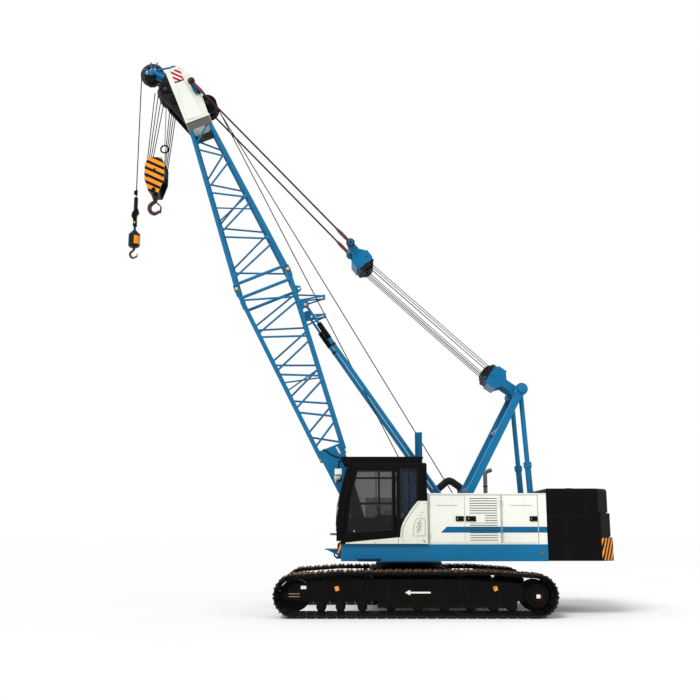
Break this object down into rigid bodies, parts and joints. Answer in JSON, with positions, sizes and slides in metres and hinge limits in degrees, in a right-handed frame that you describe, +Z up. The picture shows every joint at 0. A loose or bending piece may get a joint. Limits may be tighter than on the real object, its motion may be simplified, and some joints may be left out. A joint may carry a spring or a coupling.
{
  "type": "crawler crane",
  "caption": "Crawler crane with a lattice boom on pendants and a gantry, a glazed cab, machinery houses, counterweight, main hook block and auxiliary hook.",
  "frame": {"origin": "on the ground under the slewing axis, midway between the tracks", "axes": "+X forward along the tracks, the way the boom points; +Y to the crane's left, the cab side; +Z up"},
  "size_m": [10.3162, 4.3, 12.4522],
  "materials": {
    "black_paint": "satin",
    "dark_steel": "matte",
    "track_steel": "matte",
    "blue_paint": "gloss",
    "white_paint": "gloss",
    "cream_paint": "gloss",
    "glass": "gloss",
    "seat_vinyl": "matte",
    "black_rubber": "matte",
    "wire_rope": "satin",
    "orange_paint": "satin",
    "hook_steel": "satin"
  },
  "bodies": {
    "undercarriage": {"carbody": "black_paint", "slew_ring": "dark_steel", "track_frame_left": "black_paint", "track_frame_right": "black_paint", "track_left": "track_steel", "track_right": "track_steel", "track_rollers": "dark_steel", "track_wheels": "black_paint"},
    "upper": {"deck": "blue_paint", "house_left": "white_paint", "house_right": "white_paint", "engine": "dark_steel", "winches": "dark_steel", "counterweight": "black_paint", "counterweight_lugs": "black_paint", "cab_floor": "black_paint", "cab_roof": "black_paint", "cab_left_wall": "black_paint", "cab_right_wall": "black_paint", "cab_rear_wall": "cream_paint", "cab_front_wall": "black_paint", "cab_panel": "cream_paint", "cab_glass": "glass", "cab_seat": "seat_vinyl", "cab_roof_guard": "black_paint", "tow_lug": "blue_paint", "exhaust": "dark_steel", "air_duct": "black_rubber", "rope_post": "blue_paint", "gantry_mast": "blue_paint", "gantry_rear_legs": "blue_paint"},
    "cab_door": {"cab_door": "black_paint", "cab_door_glass": "glass"},
    "boom": {"boom_butt": "blue_paint", "boom_butt_lacing": "blue_paint", "boom_top": "blue_paint", "boom_top_lacing": "blue_paint", "boom_head": "white_paint", "boom_head_sheaves": "dark_steel", "boom_aux_tip": "blue_paint", "boom_lugs": "blue_paint"},
    "luff_block": {"luff_block": "blue_paint"},
    "bail": {"bail": "blue_paint", "pendants": "wire_rope"},
    "stop_rods": {"stop_rods": "black_paint"},
    "stop_tubes": {"stop_tubes": "blue_paint"},
    "main_line": {"main_falls": "wire_rope"},
    "main_block": {"main_block": "orange_paint"},
    "main_hook": {"main_hook": "hook_steel"},
    "aux_line": {"aux_fall": "wire_rope"},
    "aux_weight": {"aux_weight": "black_paint"},
    "aux_hook": {"aux_hook": "hook_steel"},
    "house_door_left_a": {"house_door_left_a": "white_paint"},
    "house_door_left_b": {"house_door_left_b": "white_paint"},
    "house_door_left_c": {"house_door_left_c": "white_paint"},
    "house_door_right_a": {"house_door_right_a": "white_paint"},
    "house_door_right_b": {"house_door_right_b": "white_paint"},
    "house_door_right_c": {"house_door_right_c": "white_paint"}
  },
  "joints": [
    {"name": "slew", "type": "hinge", "parent": "undercarriage", "child": "upper", "pos_m": [0, 0, 0.95], "axis": [0, 0, 1], "continuous": true},
    {"name": "boom_luff", "type": "hinge", "parent": "upper", "child": "boom", "pos_m": [1.05, 0, 1.85], "axis": [0, -1, 0], "range_deg": [-37, 12]},
    {"name": "luff_block_tilt", "type": "hinge", "parent": "upper", "child": "luff_block", "pos_m": [-2.4, 0, 4.6], "axis": [0, -1, 0], "range_deg": [-33, 11]},
    {"name": "bail_travel", "type": "slide", "parent": "luff_block", "child": "bail", "axis": [0.7122, 0, 0.702], "range_m": [-0.9, 2.72]},
    {"name": "stop_rod_swing", "type": "hinge", "parent": "boom", "child": "stop_rods", "pos_m": [2.23, 0, 6.51], "axis": [0, -1, 0], "range_deg": [-3, 9]},
    {"name": "stop_tube_travel", "type": "slide", "parent": "stop_rods", "child": "stop_tubes", "axis": [0.5714, 0, 0.8207], "range_m": [-0.96, 0.32]},
    {"name": "main_line_hang", "type": "hinge", "parent": "boom", "child": "main_line", "pos_m": [5.50991, 0, 11.64064], "axis": [0, -1, 0], "range_deg": [-12.5, 37.5]},
    {"name": "main_hoist", "type": "slide", "parent": "main_line", "child": "main_block", "axis": [0, 0, -1], "range_m": [0, 3.6], "deforming": ["main_falls"]},
    {"name": "main_hook_swivel", "type": "hinge", "parent": "main_block", "child": "main_hook", "pos_m": [5.70991, 0, 9.1], "axis": [0, 0, 1], "continuous": true},
    {"name": "aux_line_hang", "type": "hinge", "parent": "boom", "child": "aux_line", "pos_m": [5.89617, 0, 12.17425], "axis": [0, -1, 0], "range_deg": [-12.5, 37.5]},
    {"name": "aux_hoist", "type": "slide", "parent": "aux_line", "child": "aux_weight", "axis": [0, 0, -1], "range_m": [-1.8, 2.5], "deforming": ["aux_fall"]},
    {"name": "aux_hook_swivel", "type": "hinge", "parent": "aux_weight", "child": "aux_hook", "pos_m": [6.15617, 0, 7.89], "axis": [0, 0, 1], "continuous": true},
    {"name": "cab_door_swing", "type": "hinge", "parent": "upper", "child": "cab_door", "pos_m": [0.349, 1.612, 2.1], "axis": [0, 0, 1], "range_deg": [0, 100]},
    {"name": "house_door_left_a_swing", "type": "hinge", "parent": "upper", "child": "house_door_left_a", "pos_m": [-0.347, 1.56, 1.86], "axis": [0, 0, -1], "range_deg": [0, 85]},
    {"name": "house_door_left_b_swing", "type": "hinge", "parent": "upper", "child": "house_door_left_b", "pos_m": [-1.727, 1.56, 1.86], "axis": [0, 0, 1], "range_deg": [0, 85]},
    {"name": "house_door_left_c_swing", "type": "hinge", "parent": "upper", "child": "house_door_left_c", "pos_m": [-1.793, 1.56, 1.86], "axis": [0, 0, -1], "range_deg": [0, 85]},
    {"name": "house_door_right_a_swing", "type": "hinge", "parent": "upper", "child": "house_door_right_a", "pos_m": [-0.347, -1.56, 1.86], "axis": [0, 0, 1], "range_deg": [0, 85]},
    {"name": "house_door_right_b_swing", "type": "hinge", "parent": "upper", "child": "house_door_right_b", "pos_m": [-1.727, -1.56, 1.86], "axis": [0, 0, -1], "range_deg": [0, 85]},
    {"name": "house_door_right_c_swing", "type": "hinge", "parent": "upper", "child": "house_door_right_c", "pos_m": [-1.793, -1.56, 1.86], "axis": [0, 0, 1], "range_deg": [0, 85]}
  ],
  "couplings": [
    {"joint": "luff_block_tilt", "follows": "boom_luff", "ratio": 0.87},
    {"joint": "bail_travel", "follows": "boom_luff", "m_per_rad": -4.15},
    {"joint": "stop_rod_swing", "follows": "boom_luff", "ratio": -0.23},
    {"joint": "stop_tube_travel", "follows": "boom_luff", "m_per_rad": 1.45},
    {"joint": "main_line_hang", "follows": "boom_luff", "ratio": -1},
    {"joint": "aux_line_hang", "follows": "boom_luff", "ratio": -1}
  ]
}
